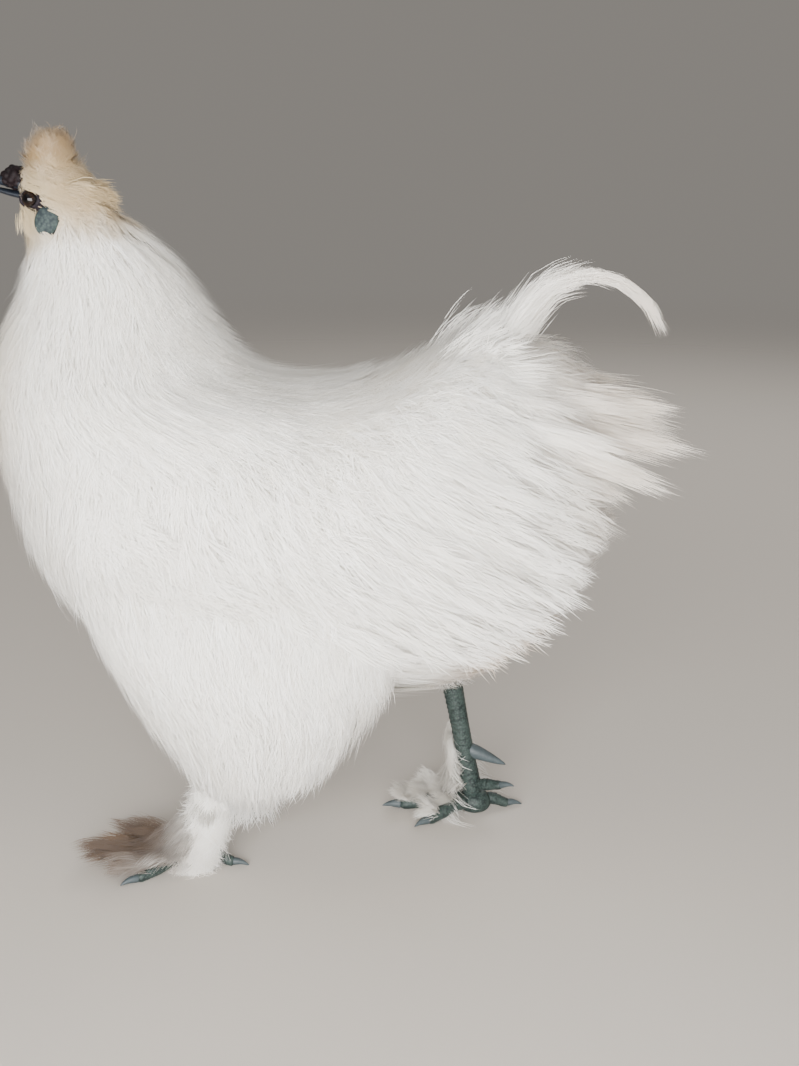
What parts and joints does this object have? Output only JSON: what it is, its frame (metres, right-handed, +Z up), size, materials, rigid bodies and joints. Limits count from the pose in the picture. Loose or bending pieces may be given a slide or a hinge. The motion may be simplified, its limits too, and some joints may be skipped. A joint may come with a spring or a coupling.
{
  "type": "silkie chicken",
  "caption": "Life-size white silkie cock in mid stride, with a soft crest, walnut comb, cone-shaped hackle, folded wings, a curled tail and feathered feet",
  "frame": {"origin": "on the floor, under the middle of the bird's box", "axes": "+Z is up, the beak points to -X, and the bird's left side is -Y"},
  "size_m": [0.3606, 0.1792, 0.3757],
  "materials": {
    "plumage": "soft white silky down",
    "crest_plumage": "soft cream silky down",
    "leg_skin": "slate blue scaly skin",
    "comb_skin": "dark mulberry fleshy skin",
    "earlobe_skin": "turquoise smooth skin",
    "eye": "wet dark eye",
    "beak_horn": "slate horn",
    "claw_horn": "grey horn"
  },
  "bodies": {
    "root": {"torso": "plumage", "neck": "plumage", "head": "crest_plumage", "tail": "plumage", "wing_left": "plumage", "wing_right": "plumage", "thigh_left": "plumage", "thigh_right": "plumage", "foot_left": "leg_skin", "foot_right": "leg_skin", "comb": "comb_skin", "wattle_left": "comb_skin", "wattle_right": "comb_skin", "earlobe_left": "earlobe_skin", "earlobe_right": "earlobe_skin", "eye_left": "eye", "eye_right": "eye", "beak_upper": "beak_horn", "beak_lower": "beak_horn", "claw_left_1": "claw_horn", "claw_left_2": "claw_horn", "claw_left_3": "claw_horn", "claw_left_4": "claw_horn", "claw_left_5": "claw_horn", "spur_left": "claw_horn", "claw_right_1": "claw_horn", "claw_right_2": "claw_horn", "claw_right_3": "claw_horn", "claw_right_4": "claw_horn", "claw_right_5": "claw_horn", "spur_right": "claw_horn"}
  },
  "joints": []
}
